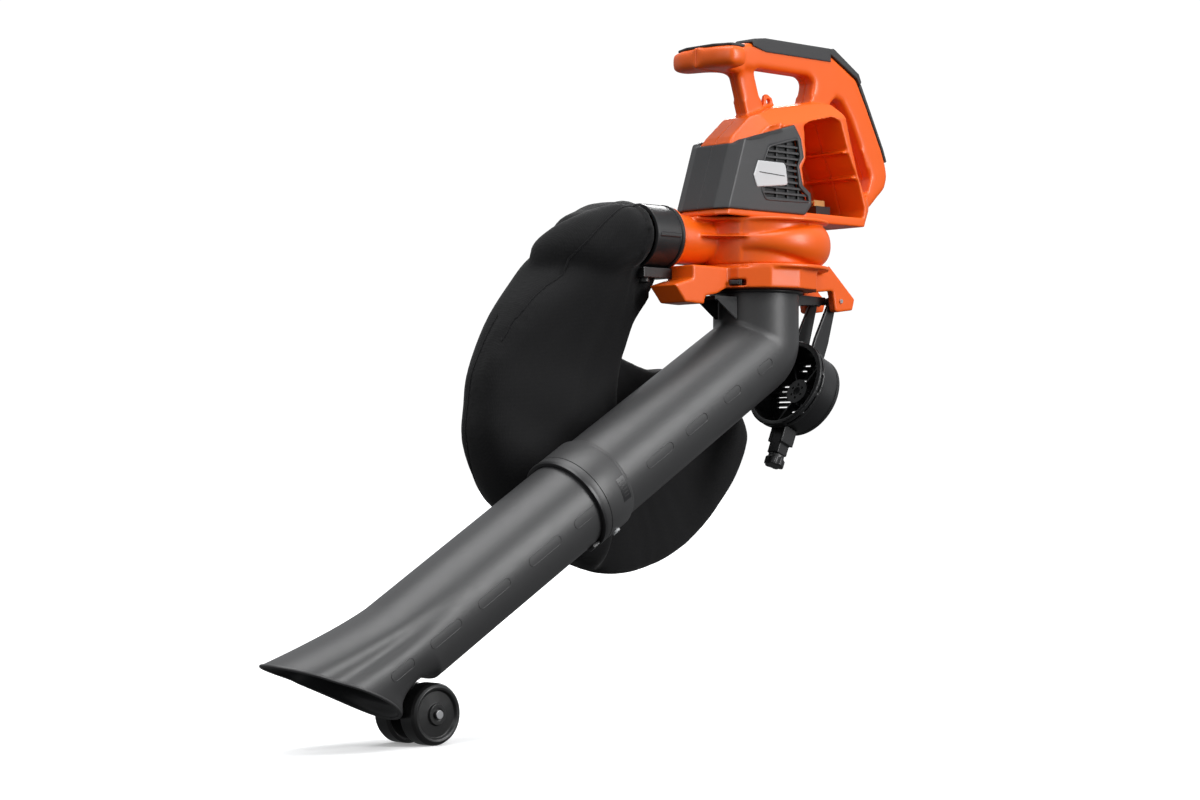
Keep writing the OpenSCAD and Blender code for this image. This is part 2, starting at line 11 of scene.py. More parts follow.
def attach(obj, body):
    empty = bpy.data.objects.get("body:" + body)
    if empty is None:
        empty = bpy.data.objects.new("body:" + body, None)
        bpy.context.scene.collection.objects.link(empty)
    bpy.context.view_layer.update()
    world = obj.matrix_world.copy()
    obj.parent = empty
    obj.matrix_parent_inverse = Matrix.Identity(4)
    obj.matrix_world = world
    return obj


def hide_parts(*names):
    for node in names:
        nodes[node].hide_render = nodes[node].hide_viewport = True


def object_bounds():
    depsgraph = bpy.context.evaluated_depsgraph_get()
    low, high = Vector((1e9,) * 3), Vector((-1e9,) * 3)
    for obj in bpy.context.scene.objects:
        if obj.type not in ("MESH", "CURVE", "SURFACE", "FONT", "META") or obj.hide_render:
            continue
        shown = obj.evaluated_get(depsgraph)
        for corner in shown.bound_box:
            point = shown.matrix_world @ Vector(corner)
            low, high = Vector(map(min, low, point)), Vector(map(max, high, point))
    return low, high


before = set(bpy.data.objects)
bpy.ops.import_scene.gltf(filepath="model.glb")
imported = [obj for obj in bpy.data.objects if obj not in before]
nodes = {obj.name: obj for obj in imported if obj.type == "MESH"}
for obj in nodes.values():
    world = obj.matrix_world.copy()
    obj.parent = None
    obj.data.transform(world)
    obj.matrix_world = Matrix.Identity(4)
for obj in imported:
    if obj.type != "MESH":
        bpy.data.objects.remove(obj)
cadLow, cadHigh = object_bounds()
floorZ = cadLow.z
print("stage: frame loaded")

# The machine's own axes: x from the fan axis, z from the floor, both in metres.
site = {"gripX": 0.062, "gripZ": 0.925, "cornerZ": 0.512, "slope": math.radians(31)}


def place(x, y, z):
    # shifts machine coordinates to the grip frame
    return np.stack(np.broadcast_arrays(x - site["gripX"], y, z - site["gripZ"]), -1)


def onTube(s, n, y):
    # s runs down the tube from the elbow's corner, n is perpendicular to it, y is across
    c, k = math.cos(site["slope"]), math.sin(site["slope"])
    return place(-s * c - n * k, y, site["cornerZ"] - s * k + n * c)


def smooth(t):
    # 3t^2 - 2t^3, held at its ends
    t = np.clip(t, 0, 1)
    return t * t * (3 - 2 * t)


def spline(points, count, closed=False):
    # Catmull-Rom curve through the points, sampled evenly in parameter
    p = np.asarray(points, float)
    n = len(p)
    u = np.linspace(0, n if closed else n - 1, count, endpoint=not closed)
    i = np.floor(u).astype(int)
    if not closed:
        i = np.minimum(i, n - 2)
    t = (u - i)[:, None]
    pick = (lambda k: p[(i + k) % n]) if closed else (lambda k: p[np.clip(i + k, 0, n - 1)])
    a, b, c, d = pick(-1), pick(0), pick(1), pick(2)
    return 0.5 * (2 * b + (c - a) * t + (2 * a - 5 * b + 4 * c - d) * t**2 + (3 * b - a - 3 * c + d) * t**3)


# meshes
def linked(name, mesh):
    piece = bpy.data.objects.new(name, mesh)
    bpy.context.scene.collection.objects.link(piece)
    return piece


def fromBmesh(name, bm):
    mesh = bpy.data.meshes.new(name)
    bm.to_mesh(mesh)
    bm.free()
    return linked(name, mesh)


def shadeSmooth(mesh):
    mesh.polygons.foreach_set("use_smooth", [True] * len(mesh.polygons))


def pointsOf(mesh, what="co"):
    values = np.zeros(len(mesh.vertices) * 3)
    mesh.vertices.foreach_get(what, values)
    return values.reshape(-1, 3)


def movePoints(mesh, points):
    mesh.vertices.foreach_set("co", points.ravel())
    mesh.update()


def meshFrom(name, points, faces):
    mesh = bpy.data.meshes.new(name)
    mesh.from_pydata(points.tolist(), [], faces)
    mesh.update()
    shadeSmooth(mesh)
    return linked(name, mesh)


def outward(piece):
    bm = bmesh.new()
    bm.from_mesh(piece.data)
    bmesh.ops.remove_doubles(bm, verts=bm.verts, dist=1e-6)
    bmesh.ops.recalc_face_normals(bm, faces=bm.faces)
    bm.to_mesh(piece.data)
    bm.free()
    return piece


def gridPiece(name, grid, closeU=False, closeV=True, creaseAngle=40):
    # grid[u, v]: quads between neighbours, wrapped where closed, and a face over each open end in u
    nu, nv = grid.shape[:2]
    idx = np.arange(nu * nv).reshape(nu, nv)
    a = idx if closeU else idx[:-1]
    b = np.roll(idx, -1, 0) if closeU else idx[1:]
    if closeV:
        a2, b2 = np.roll(a, -1, 1), np.roll(b, -1, 1)
    else:
        a, b, a2, b2 = a[:, :-1], b[:, :-1], a[:, 1:], b[:, 1:]
    faces = np.stack([a, b, b2, a2], -1).reshape(-1, 4).tolist()
    if closeV and not closeU:
        faces += [idx[0].tolist(), idx[-1][::-1].tolist()]
    piece = outward(meshFrom(name, grid.reshape(-1, 3), faces))
    piece.data.set_sharp_from_angle(angle=math.radians(creaseAngle))
    return piece


def lathe(name, profile, origin, axis, side, turns=96, ripple=None):
    # profile is (radius, distance along axis); each row is a circle round the axis
    p = np.asarray(profile, float)
    axis, side = Vector(axis).normalized(), Vector(side).normalized()
    other = axis.cross(side)
    t = np.linspace(0, 2 * math.pi, turns, endpoint=False)
    r = p[:, :1] * np.ones_like(t)
    if ripple is not None:
        r = r + ripple(t, p[:, 1:])
    grid = (np.array(origin) + p[:, 1, None, None] * np.array(axis)
            + (r * np.cos(t))[..., None] * np.array(side) + (r * np.sin(t))[..., None] * np.array(other))
    return gridPiece(name, grid, closeU=True)


def ridge(name, path, radius, closed=True, sides=8):
    # a thin bead: a circle carried along the path
    p = np.asarray(path, float)
    ahead = np.roll(p, -1, 0) - np.roll(p, 1, 0) if closed else np.gradient(p, axis=0)
    ahead /= np.linalg.norm(ahead, axis=1, keepdims=True)
    up = np.cross(ahead, [0.31, 0.2, 0.93])
    up /= np.linalg.norm(up, axis=1, keepdims=True)
    over = np.cross(ahead, up)
    t = np.linspace(0, 2 * math.pi, sides, endpoint=False)[None, :, None]
    grid = p[:, None] + radius * (np.cos(t) * up[:, None] + np.sin(t) * over[:, None])
    return gridPiece(name, grid, closeU=closed)


def copyOf(node):
    piece = linked(node + "Look", nodes[node].data.copy())
    piece.data.materials.clear()
    return piece


bevelLook = {"widest": 0.002, "segments": 3, "weld": 1e-5, "flat": math.radians(1.5),
             "sharp": math.radians(22)}


def bevelled(name, width):
    # a welded copy of a frame part whose edges over 22 degrees are rounded
    piece = copyOf(name)
    bm = bmesh.new()
    bm.from_mesh(piece.data)
    bmesh.ops.remove_doubles(bm, verts=bm.verts, dist=bevelLook["weld"])
    bmesh.ops.dissolve_degenerate(bm, edges=bm.edges, dist=2e-5)
    bmesh.ops.dissolve_limit(bm, angle_limit=bevelLook["flat"], verts=bm.verts, edges=bm.edges)
    weight = bm.edges.layers.float.new("bevel_weight_edge")
    for e in bm.edges:
        if len(e.link_faces) == 2 and e.calc_face_angle(0) >= bevelLook["sharp"]:
            e[weight] = min(1, width / bevelLook["widest"])
    bm.to_mesh(piece.data)
    bm.free()
    m = piece.modifiers.new("edges", "BEVEL")
    m.limit_method = "WEIGHT"
    m.width = bevelLook["widest"]
    m.segments = bevelLook["segments"]
    m.use_clamp_overlap = True
    m.miter_outer = "MITER_ARC"
    shadeSmooth(piece.data)
    w = piece.modifiers.new("shade", "WEIGHTED_NORMAL")
    w.keep_sharp = False
    piece.data.set_sharp_from_angle(angle=math.radians(35))
    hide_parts(name)
    return piece


def cast(piece, voxel, rounds, broad=None, broadRounds=0):
    # remesh in small cubes, then move each point towards its neighbours' mean: more rounds make
    # rounder edges; broad(points) gives 0 to 1, how far a point takes the broad rounds
    m = piece.modifiers.new("cast", "REMESH")
    m.mode = "VOXEL"
    m.voxel_size = voxel
    m.use_smooth_shade = True
    skin = bpy.data.meshes.new_from_object(piece.evaluated_get(bpy.context.evaluated_depsgraph_get()))
    piece.modifiers.clear()
    piece.data = skin
    skin.materials.clear()
    n = len(skin.vertices)
    co = pointsOf(skin)
    ends = np.zeros(len(skin.edges) * 2, int)
    skin.edges.foreach_get("vertices", ends)
    a, b = ends.reshape(-1, 2).T
    links = np.bincount(np.concatenate([a, b]), minlength=n)[:, None]
    share = broad(co)[:, None] if broad else np.zeros((n, 1))
    for k in range(max(rounds, broadRounds)):
        mean = np.stack([np.bincount(np.concatenate([a, b]), np.concatenate([co[b, i], co[a, i]]), n)
                         for i in range(3)], -1) / links
        pull = (k < rounds) + share * (k >= rounds)
        co = co + 0.5 * (mean - co) * pull
    movePoints(skin, co)
    shadeSmooth(skin)


def joined(name, parts):
    # one mesh from several closed shapes, ready to be cast as one
    bm = bmesh.new()
    for part in parts:
        bm.from_mesh(part.data)
        bpy.data.objects.remove(part)
    return fromBmesh(name, bm)


def extruded(name, corners, shift, rim):
    # a flat plate: the corners' face carried along shift, with softened edges where rim is given
    bm = bmesh.new()
    face = bm.faces.new([bm.verts.new(corner) for corner in corners])
    grown = bmesh.ops.extrude_face_region(bm, geom=[face])
    bmesh.ops.translate(bm, vec=shift, verts=[g for g in grown["geom"] if isinstance(g, bmesh.types.BMVert)])
    bmesh.ops.recalc_face_normals(bm, faces=bm.faces)
    if rim:
        bmesh.ops.bevel(bm, geom=list(bm.edges), offset=rim, segments=2, affect="EDGES")
    return fromBmesh(name, bm)


def flatPlate(name, outline, z0, z1):
    # a level plate from an outline seen from above
    return extruded(name, [place(x, y, z0) for x, y in outline], (0, 0, z1 - z0), 0)


def slabPiece(name, outline, y0, y1, rim=0.0006):
    # a plate in the machine's side plane
    return extruded(name, [place(x, y0, z) for x, z in np.array(outline, float)], (0, y1 - y0, 0), rim)


# shader helpers
class Val:
    # a socket in sums: every operator adds a Math node
    def __init__(self, tree, socket):
        self.tree, self.socket = tree, socket

    def op(self, kind, *others):
        n = self.tree.nodes.new("ShaderNodeMath")
        n.operation = kind
        for slot, v in zip(n.inputs, others):
            if isinstance(v, Val):
                self.tree.links.new(v.socket, slot)
            else:
                slot.default_value = v
        return Val(self.tree, n.outputs[0])

    def __add__(self, o):
        return self.op("ADD", self, o)

    def __radd__(self, o):
        return self.op("ADD", o, self)

    def __sub__(self, o):
        return self.op("SUBTRACT", self, o)

    def __rsub__(self, o):
        return self.op("SUBTRACT", o, self)

    def __mul__(self, o):
        return self.op("MULTIPLY", self, o)

    def __rmul__(self, o):
        return self.op("MULTIPLY", o, self)

    def __pow__(self, o):
        return self.op("POWER", self, o)


class Finish:
    # one material: node() adds any node, set() gives the surface its values
    def __init__(self, name):
        self.mat = bpy.data.materials.new(name)
        self.mat.use_nodes = True
        self.tree = self.mat.node_tree
        self.tree.nodes.clear()
        self.out = self.tree.nodes.new("ShaderNodeOutputMaterial")
        self.surface = self.tree.nodes.new("ShaderNodeBsdfPrincipled")
        self.tree.links.new(self.surface.outputs[0], self.out.inputs[0])
        self.coords = self.tree.nodes.new("ShaderNodeTexCoord")

    def node(self, kind, settings=None, sockets=None, out=0):
        n = self.tree.nodes.new(kind)
        for k, v in (settings or {}).items():
            if k == "stops":
                ramp = n.color_ramp.elements
                while len(ramp) < len(v):
                    ramp.new(0.5)
                for e, (pos, colour) in zip(ramp, v):
                    e.position = pos
                    e.color = (*colour, 1) if len(colour) == 3 else colour
            else:
                setattr(n, k, v)
        for k, v in (sockets or {}).items():
            if isinstance(v, Val):
                self.tree.links.new(v.socket, n.inputs[k])
            else:
                n.inputs[k].default_value = v
        return Val(self.tree, n.outputs[out])

    def here(self, which="Object"):
        return Val(self.tree, self.coords.outputs[which])

    def noise(self, scale, detail=3, rough=0.5, where=None):
        return self.node("ShaderNodeTexNoise", None,
                         {"Vector": where or self.here(), "Scale": scale, "Detail": detail,
                          "Roughness": rough})

    def blend(self, factor, a, b):
        return self.node("ShaderNodeMix", {"data_type": "RGBA"},
                         {0: factor, 6: (*a, 1) if isinstance(a, tuple) else a,
                          7: (*b, 1) if isinstance(b, tuple) else b}, out=2)

    def bump(self, height, strength, distance=0.0003):
        return self.node("ShaderNodeBump", None,
                         {"Height": height, "Strength": strength, "Distance": distance})

    def set(self, **values):
        for k, v in values.items():
            name = {"color": "Base Color", "rough": "Roughness", "metal": "Metallic", "coat": "Coat Weight",
                    "coatRough": "Coat Roughness", "normal": "Normal", "sheen": "Sheen Weight",
                    "sheenRough": "Sheen Roughness", "specular": "Specular IOR Level", "ior": "IOR",
                    "glow": "Emission Color", "subsurface": "Subsurface Weight"}[k]
            if isinstance(v, Val):
                self.tree.links.new(v.socket, self.surface.inputs[name])
            else:
                self.surface.inputs[name].default_value = (*v, 1) if isinstance(v, tuple) else v
        return self.mat


def paleEdgeMask(f):
    # 0 on flats, rising to 1 on sharp convex edges, which are painted paler
    edgeSharpness = f.node("ShaderNodeNewGeometry", out="Pointiness")
    return f.node("ShaderNodeMapRange", None, {"Value": edgeSharpness, "From Min": 0.52, "From Max": 0.62})


def mouldedPlastic(name, colour, rough, grain, grainScale, coat=0.0, edgePaling=0.25, deep=0.8):
    # base colour drifts a little over the part; grain is the mould's fine texture
    f = Finish(name)
    drift = f.noise(14, 2)
    fine = f.noise(grainScale, 2, 0.6)
    patch = f.noise(60, 4, 0.6)
    dark = tuple(c * deep for c in colour)
    col = f.blend(drift * 0.6 + patch * 0.2, dark, colour)
    pale = tuple(min(1, c * 1.15 + 0.01) for c in colour)
    # sharp convex edges are painted paler by the given share
    col = f.blend(paleEdgeMask(f) * edgePaling, col, pale)
    r = rough - 0.05 + patch * 0.1
    return f.set(color=col, rough=r, coat=coat, coatRough=0.15, specular=0.5,
                 normal=f.bump(fine, grain))


def fabricFinish(name):
    # plain weave from two crossed waves over the piece's own map
    f = Finish(name)
    uv = f.here("UV")
    warp = f.node("ShaderNodeTexWave", {"bands_direction": "X", "wave_profile": "SIN"},
                  {"Vector": uv, "Scale": 180.0, "Distortion": 0.6, "Detail Scale": 2.0})
    weft = f.node("ShaderNodeTexWave", {"bands_direction": "Y", "wave_profile": "SIN"},
                  {"Vector": uv, "Scale": 180.0, "Distortion": 0.6, "Detail Scale": 2.0})
    slub = f.noise(260, 3, 0.7)
    cloud = f.noise(9, 3)
    weave = warp * weft + slub * 0.5
    col = f.blend(cloud * 0.7 + slub * 0.3, (0.0055, 0.0055, 0.006), (0.0115, 0.0115, 0.012))
    return f.set(color=col, rough=0.8 + slub * 0.12, sheen=0.08, sheenRough=0.4, specular=0.2,
                 normal=f.bump(weave, 0.5, 0.0005))


def metalFinish(name, colour, rough):
    f = Finish(name)
    streak = f.node("ShaderNodeTexNoise", None, {"Vector": f.here(), "Scale": 300.0, "Detail": 4.0})
    return f.set(color=f.blend(streak, tuple(c * 0.85 for c in colour), colour), metal=1.0,
                 rough=rough + streak * 0.12, normal=f.bump(streak, 0.1))


finishes = {
    "orange": mouldedPlastic("orangeGloss", (0.84, 0.112, 0.001), 0.38, 0.05, 900, coat=0.04, edgePaling=0.2,
                             deep=0.92),
    "grey": mouldedPlastic("greyTube", (0.047, 0.047, 0.048), 0.42, 0.12, 1400, edgePaling=0.1),
    "cover": mouldedPlastic("greyCover", (0.040, 0.040, 0.042), 0.45, 0.3, 1200, edgePaling=0.15),
    "black": mouldedPlastic("blackParts", (0.014, 0.014, 0.015), 0.38, 0.12, 1200, edgePaling=0.25),
    "wheel": mouldedPlastic("wheelPlastic", (0.012, 0.012, 0.012), 0.33, 0.1, 1000, coat=0.1),
    "soft": mouldedPlastic("softGrip", (0.030, 0.030, 0.032), 0.62, 0.5, 1500, edgePaling=0.1),
    "pale": mouldedPlastic("palePlate", (0.62, 0.63, 0.64), 0.35, 0.05, 900, edgePaling=0.1),
    "fan": mouldedPlastic("fanPlastic", (0.05, 0.05, 0.055), 0.5, 0.1, 900),
    "board": mouldedPlastic("boardGreen", (0.01, 0.09, 0.03), 0.4, 0.05, 600),
    "lead": mouldedPlastic("leadCover", (0.35, 0.01, 0.01), 0.4, 0.05, 600),
    "bag": fabricFinish("bagCloth"),
    "steel": metalFinish("brightSteel", (0.62, 0.62, 0.63), 0.25),
    "alloy": metalFinish("castAlloy", (0.55, 0.55, 0.56), 0.45),
    "brass": metalFinish("brassBlade", (0.75, 0.52, 0.2), 0.3),
}


def dress(piece, finish, body="root", node=None):
    piece.data.materials.clear()
    piece.data.materials.append(finishes[finish])
    if node:
        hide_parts(node)
    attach(piece, body)
    return piece


print("stage: finishes ready")

# frame parts that keep their own shape
kept = {"fan": ["impeller"], "board": ["controller_board"], "lead": ["motor_leads"],
        "brass": ["terminal_blades"],
        "alloy": ["motor_plate", "motor_end_bell"],
        "steel": ["motor_stator", "motor_rotor", "lower_bearing", "upper_bearing", "motor_screws",
                  "impeller_nut", "mulching_blade", "hinge_pin", "axle", "housing_screws"],
        "black": ["shaft_seal", "battery_terminal"]}
for finish, names in kept.items():
    for n in names:
        nodes[n].data.materials.clear()
        nodes[n].data.materials.append(finishes[finish])


# moulded shells
def handleZone(co):
    # 1 on the handle, its strut and the front bar, away from the seam; 0 on the motor housing
    x, y, z = co[:, 0], np.abs(co[:, 1]), co[:, 2]
    above = z > np.interp(x, [-0.14, -0.06, 0.036, 0.075], [-0.075, -0.062, -0.050, -0.045])
    behind = x > np.interp(z, [-0.24, -0.16, -0.12, -0.05], [0.140, 0.166, 0.146, 0.085])
    away = smooth((y - 0.003) / 0.006)
    bar = smooth((-0.105 - x) / 0.02) * (z > -0.04)
    return np.where(above | behind, 0.05 + 0.95 * away, 0.0) * (0.35 + 0.65 * bar)


castings = {
    "housing_left": ("orange", 0.0019, 3, "root"), "housing_right": ("orange", 0.0019, 3, "root"),
    "motor_cover_left": ("cover", 0.0013, 3, "root"), "motor_cover_right": ("cover", 0.0013, 3, "root"),
    "badge_left": ("pale", 0.0007, 3, "root"), "badge_right": ("pale", 0.0007, 3, "root"),
    "front_bar_pad": ("soft", 0.0012, 5, "root"), "top_grip": ("soft", 0.0013, 6, "root"),
    "control_panel": ("soft", 0.0012, 6, "root"), "rear_grip": ("soft", 0.0012, 6, "root"),
    "power_key": ("black", 0.0006, 3, "power_button"), "speed_key": ("black", 0.0006, 3, "speed_button"),
    "tube_lock": ("black", 0.0006, 4, "lock_slider"),
    "guard_cup": ("black", 0.0012, 2, "guard"), "guard_arms": ("black", 0.0010, 3, "guard"),
    "guard_bracket": ("black", 0.0010, 3, "guard"), "guard_knob": ("black", 0.0010, 4, "latch_knob"),
    "snap_button": ("pale", 0.0006, 3, "tube_button"), "release_tab": ("grey", 0.0008, 4, "root"),
    "wheel_fork": ("grey", 0.0010, 4, "root"), "collar_latch": ("black", 0.0010, 4, "root"),
    "collar_button": ("black", 0.0007, 4, "bag_button"),
}
shells = {
    "vent_grille_left": ("cover", 0.0004, "root"), "vent_grille_right": ("cover", 0.0004, "root"),
    "guard_grille": ("black", 0.0005, "guard"), "guard_hub": ("black", 0.0004, "guard"),
    "axle_screws": ("steel", 0.0005, "root"),
    "wheel_left": ("wheel", 0.0005, "near_wheel"), "wheel_right": ("wheel", 0.0005, "far_wheel"),
}
# moving pieces that need room at their limits: (fixed point, scale)
drawnIn = {"guard_knob": ((-0.0194, 0, -0.5604), 0.95), "power_key": ((0.0997, 0, 0.013), 0.88),
           "speed_key": ((0.124, 0, -0.001), 0.88)}
for n, (finish, voxel, rounds, body) in castings.items():
    piece = copyOf(n)
    big = n.startswith("housing")
    raw = pointsOf(piece.data)
    if big or n.startswith("motor_cover"):
        # the halves' joint faces run 0.9 mm past each other, so their rounded edges leave a fine seam
        raw[np.abs(raw[:, 1]) < 1e-5, 1] = 0.0009 if n.endswith("left") else -0.0009
    if n == "front_bar_pad":
        # drawn in from the bar's rounded rim
        raw[:, 0] = -0.150 + (raw[:, 0] + 0.150) * 0.90 + 0.003
        raw[:, 1] *= 0.86
        raw[:, 2] -= 0.0008
    if n in drawnIn:
        centre, scale = drawnIn[n]
        raw = np.array(centre) + (raw - np.array(centre)) * scale
    movePoints(piece.data, raw)
    cast(piece, voxel, rounds, handleZone if big else None, 80 if big else 0)
    dress(piece, finish, body, n)
for n, (finish, width, body) in shells.items():
    dress(bevelled(n, width), finish, body)
print("stage: shells made")

# fan housing: theta runs from the front, round by the near side
scroll = {"inner": 0.080, "grow": 0.033, "low": 0.626, "high": 0.687, "middle": 0.6565, "plateTop": 0.691,
          "flangeLow": 0.622, "wall": 0.004, "turns": 180, "rows": 40, "tongue": math.radians(30),
          "swell": 0.0305,
          "eye": 0.062, "hub": 0.020, "lid": 0.003}


def scrollEdge(theta):
    # the scroll's widest radius grows as a parabola from its tongue at 30 degrees to the far side,
    # then shrinks back inside the outlet
    t = np.degrees(theta)
    grown = 0.082 + scroll["grow"] * (1 - ((270 - t) / 240) ** 2)
    back = 0.1145 - 0.0325 * smooth((t - 285) / 95)
    return np.where(t < 285, grown, back)


def channel(name):
    # C-shaped section swept round the axis: the outer skin swells as a half ellipse whose height and
    # depth grow with theta, the inner skin runs one wall inside it, and both lead in to the axis
    theta = scroll["tongue"] + np.linspace(0, 2 * math.pi, scroll["turns"], endpoint=False)[:, None]
    edge = scrollEdge(theta)
    tall = scroll["swell"] * (0.35 + 0.65 * smooth((np.degrees(theta) - 35) / 95))
    tall = np.where(np.degrees(theta) > 300, scroll["swell"], tall)

    def skin(inset):
        z = np.linspace(scroll["low"] + inset, scroll["high"] - inset, scroll["rows"])[None]
        swell = np.sqrt(np.clip(1 - (np.abs(z - scroll["middle"]) / (tall - inset)) ** 2.2, 0, 1))
        return scroll["inner"] - inset + (edge - scroll["inner"]) * swell, z + 0 * theta

    r1, z1 = skin(0)
    r2, z2 = skin(scroll["wall"])
    one = np.ones_like(theta)
    eye, hub = scroll["eye"] * one, scroll["hub"] * one
    r = np.concatenate([eye, r1, hub, hub, r2[:, ::-1], eye], 1)
    z = np.concatenate([scroll["low"] * one, z1, scroll["high"] * one, (scroll["high"] - scroll["lid"]) * one,
                        z2[:, ::-1], (scroll["low"] + scroll["wall"]) * one], 1)
    return gridPiece(name, place(-r * np.cos(theta), -r * np.sin(theta), z), closeU=True)


def plateRing(name, z0, z1, inner, trim):
    # a flat flange that follows the scroll's edge, trim inside it
    theta = scroll["tongue"] + np.linspace(0, 2 * math.pi, scroll["turns"], endpoint=False)[:, None]
    e = scrollEdge(theta) - trim
    one = np.ones_like(theta)
    r = np.concatenate([inner * one, e, e, inner * one], 1)
    z = np.concatenate([z0 * one, z0 * one, z1 * one, z1 * one], 1)
    return gridPiece(name, place(-r * np.cos(theta), -r * np.sin(theta), z), closeU=True)


pipe = {"start": -0.150, "length": 0.128, "y": 0.030, "drift": 0.022, "z": 0.661, "drop": 0.003,
        "radius": 0.0355,
        "widen": 0.0215, "lower": 0.0055, "wall": 0.004, "rows": 60, "turns": 96}


def outletPipe(name):
    # a round mouth that widens and drifts outwards into the scroll; sections are superellipses whose
    # power rises from 2 to 2.6, outer rows first, then the bore back again
    def rows(inset):
        t = np.linspace(0, 1, pipe["rows"])[:, None]
        x = pipe["start"] + pipe["length"] * t
        cy = pipe["y"] + pipe["drift"] * t ** 1.6
        wide = pipe["radius"] + pipe["widen"] * t ** 1.2 - inset
        tall = pipe["radius"] - pipe["lower"] * t - inset
        a = np.linspace(0, 2 * math.pi, pipe["turns"], endpoint=False)[None]
        power = 2 / (2 + 0.6 * t)
        c, k = np.cos(a), np.sin(a)
        y = cy + wide * np.sign(c) * np.abs(c) ** power
        z = pipe["z"] - pipe["drop"] * t + tall * np.sign(k) * np.abs(k) ** power
        return place(x + 0 * a, y, z)
    return gridPiece(name, np.concatenate([rows(0)[::-1], rows(pipe["wall"])]), closeU=True)


outlet = place(-0.1535, pipe["y"], pipe["z"])
mouth = lathe("outletRim", [(0.0330, 0), (0.0425, 0), (0.0435, 0.001), (0.0435, 0.0045), (0.0425, 0.0055),
                            (0.0330, 0.0055)],
              outlet, (1, 0, 0), (0, 1, 0))


ribPlan = [(-0.125, 0.004), (-0.112, -0.019), (-0.074, -0.046), (-0.036, -0.072), (-0.044, -0.030),
           (-0.080, 0.0)]
fanTop = joined("fanHousingLook", [channel("c"), plateRing("p", scroll["high"] - 0.001, scroll["plateTop"],
                                                           0.020, 0.003),
                                   flatPlate("front", [(-0.118, 0.0), (-0.060, -0.050), (-0.020, -0.040),
                                                       (-0.02, 0.04), (-0.118, 0.060)],
                                             scroll["high"] - 0.001, scroll["plateTop"]),
                                   outletPipe("o"), mouth, flatPlate("rib", ribPlan, 0.6625, 0.6652)])
cast(fanTop, 0.0016, 4)
dress(fanTop, "orange", node="volute_upper")


block = copyOf("volute_lower")
bm = bmesh.new()
bm.from_mesh(block.data)
bmesh.ops.remove_doubles(bm, verts=bm.verts, dist=1e-5)
bmesh.ops.bisect_plane(bm, geom=bm.verts[:] + bm.edges[:] + bm.faces[:], clear_outer=True, dist=1e-6,
                             plane_co=place(0, 0, scroll["flangeLow"] - 0.0004), plane_no=(0, 0, 1))
bmesh.ops.holes_fill(bm, edges=[e for e in bm.edges if e.is_boundary], sides=0)
bmesh.ops.recalc_face_normals(bm, faces=bm.faces)
bm.to_mesh(block.data)
bm.free()
wing = [(0.078, 0.600), (0.085, 0.6245), (0.117, 0.633), (0.171, 0.588), (0.166, 0.572), (0.135, 0.568),
        (0.129, 0.570),
        (0.124, 0.598)]
fanBase = joined("fanBaseLook", [block, plateRing("f", scroll["flangeLow"] - 0.001, scroll["low"] + 0.0005,
                                                  0.064, 0.002),
                                 slabPiece("w0", wing, -0.034, -0.022, 0),
                                 slabPiece("w1", wing, 0.022, 0.034, 0)])
cast(fanBase, 0.0015, 3)
dress(fanBase, "orange", node="volute_lower")
print("stage: fan housing made")

# bag collar: two rims, a groove behind the front one and four flat ribs
collarRows = [(0.0385, 0), (0.0435, 0), (0.0442, 0.0006), (0.0442, 0.0042), (0.0436, 0.0048),
              (0.0418, 0.0052), (0.0415, 0.0062),
              (0.0418, 0.0072), (0.0425, 0.0080), (0.0425, 0.0090), (0.0425, 0.0450), (0.0425, 0.0460),
              (0.0432, 0.0466),
              (0.0432, 0.0510), (0.0425, 0.0516), (0.0385, 0.0516)]


def collarRibs(t, d):
    # a rib 5 mm wide at each quarter turn, 1.4 mm proud, between the two rims
    off = np.abs((t + math.pi / 4) % (math.pi / 2) - math.pi / 4)
    return 0.0014 * smooth((0.07 - off) / 0.02) * ((d > 0.0078) & (d < 0.0462))


dress(lathe("collarLook", collarRows, outlet, (-1, 0, 0), (0, -1, 0), 288, collarRibs),
      "black", node="bag_collar")

# small parts on the motor covers, the same on both sides
ventRing = [(-0.026, 0.790), (0.032, 0.805), (0.038, 0.780), (0.032, 0.766), (0.036, 0.739), (0.054, 0.727),
            (0.056, 0.718), (-0.032, 0.716), (-0.040, 0.727), (-0.036, 0.771)]


def rounded(points, share=0.14, count=4):
    # each corner becomes a short quadratic arc between points on its two sides
    p = np.asarray(points, float)
    before, after = np.roll(p, 1, 0), np.roll(p, -1, 0)
    u = np.linspace(0, 1, count)[None, :, None]
    a, b = p + (before - p) * share, p + (after - p) * share
    arc = (1 - u) ** 2 * a[:, None] + 2 * u * (1 - u) * p[:, None] + u ** 2 * b[:, None]
    return arc.reshape(-1, p.shape[1])


for side, sign in (("Left", -1), ("Right", 1)):
    ring = rounded(ventRing)
    far, near = sorted((sign * 0.0415, sign * 0.0430))
    # a black sheet behind each vent grille: painted shade, standing in for the dark inside of the housing
    dress(slabPiece(f"ventShadeSheet{side}", ventRing, far, near), "black")
    dress(ridge(f"ventFrame{side}", place(ring[:, 0], sign * 0.0493 + 0 * ring[:, 0], ring[:, 1]), 0.0016,
                sides=10), "cover")
    # a black strip along the slot between cap and cover: painted shadow of the gap there
    far, near = sorted((sign * 0.0460, sign * 0.0520))
    slot = [(-0.072, 0.7960), (-0.062, 0.8005), (-0.032, 0.8085), (-0.004, 0.8160), (0.0, 0.8120),
            (-0.006, 0.8095),
            (-0.024, 0.8060), (-0.042, 0.7995), (-0.060, 0.7965)]
    dress(slabPiece(f"slotShadowStrip{side}", slot, far, near, 0.0002), "black")
    far, near = sorted((sign * 0.0508, sign * 0.0513))
    dress(slabPiece(f"badgeLine{side}", [(-0.047, 0.7525), (-0.047, 0.7537), (0.004, 0.7515),
                                         (0.004, 0.7503)], far, near, 0.0001), "black")
print("stage: small parts made")

